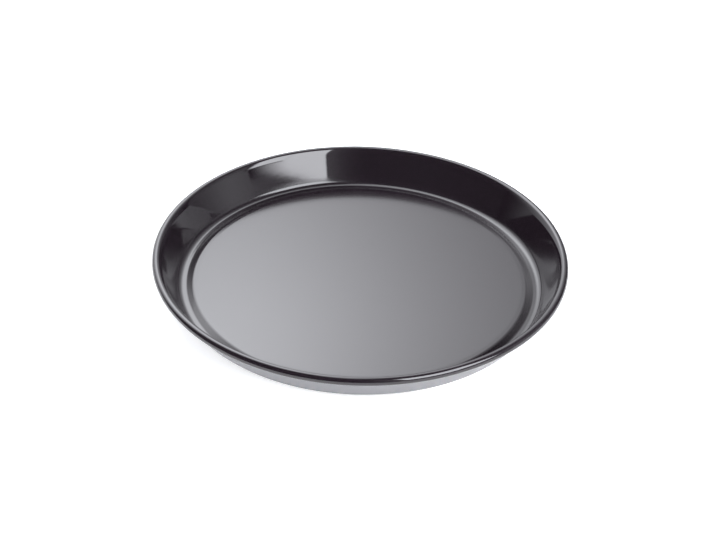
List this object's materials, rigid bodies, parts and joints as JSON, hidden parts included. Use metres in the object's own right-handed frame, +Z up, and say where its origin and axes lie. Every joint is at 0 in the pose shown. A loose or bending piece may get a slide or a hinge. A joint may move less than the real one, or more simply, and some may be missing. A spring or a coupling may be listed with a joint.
{
  "type": "pie dish",
  "caption": "Round shallow enamelled steel pie dish with a flared wall, a hollow rolled rim and a raised, stepped floor.",
  "frame": {"origin": "centre of the underside of the standing ring, on the surface that the dish rests on", "axes": "+Z up along the axis of revolution, +X and +Y any two radii at right angles"},
  "size_m": [0.35, 0.3498, 0.032],
  "materials": {
    "pressed_steel": "cold-rolled decarburised sheet, drawn, pickled and wholly covered by the coats",
    "inside_enamel": "glossy black vitreous enamel, fired",
    "outside_enamel": "glossy mid-grey vitreous enamel, fired"
  },
  "bodies": {
    "root": {"steel_pressing": "pressed_steel", "inside_coat": "inside_enamel", "outside_coat": "outside_enamel"}
  },
  "joints": []
}
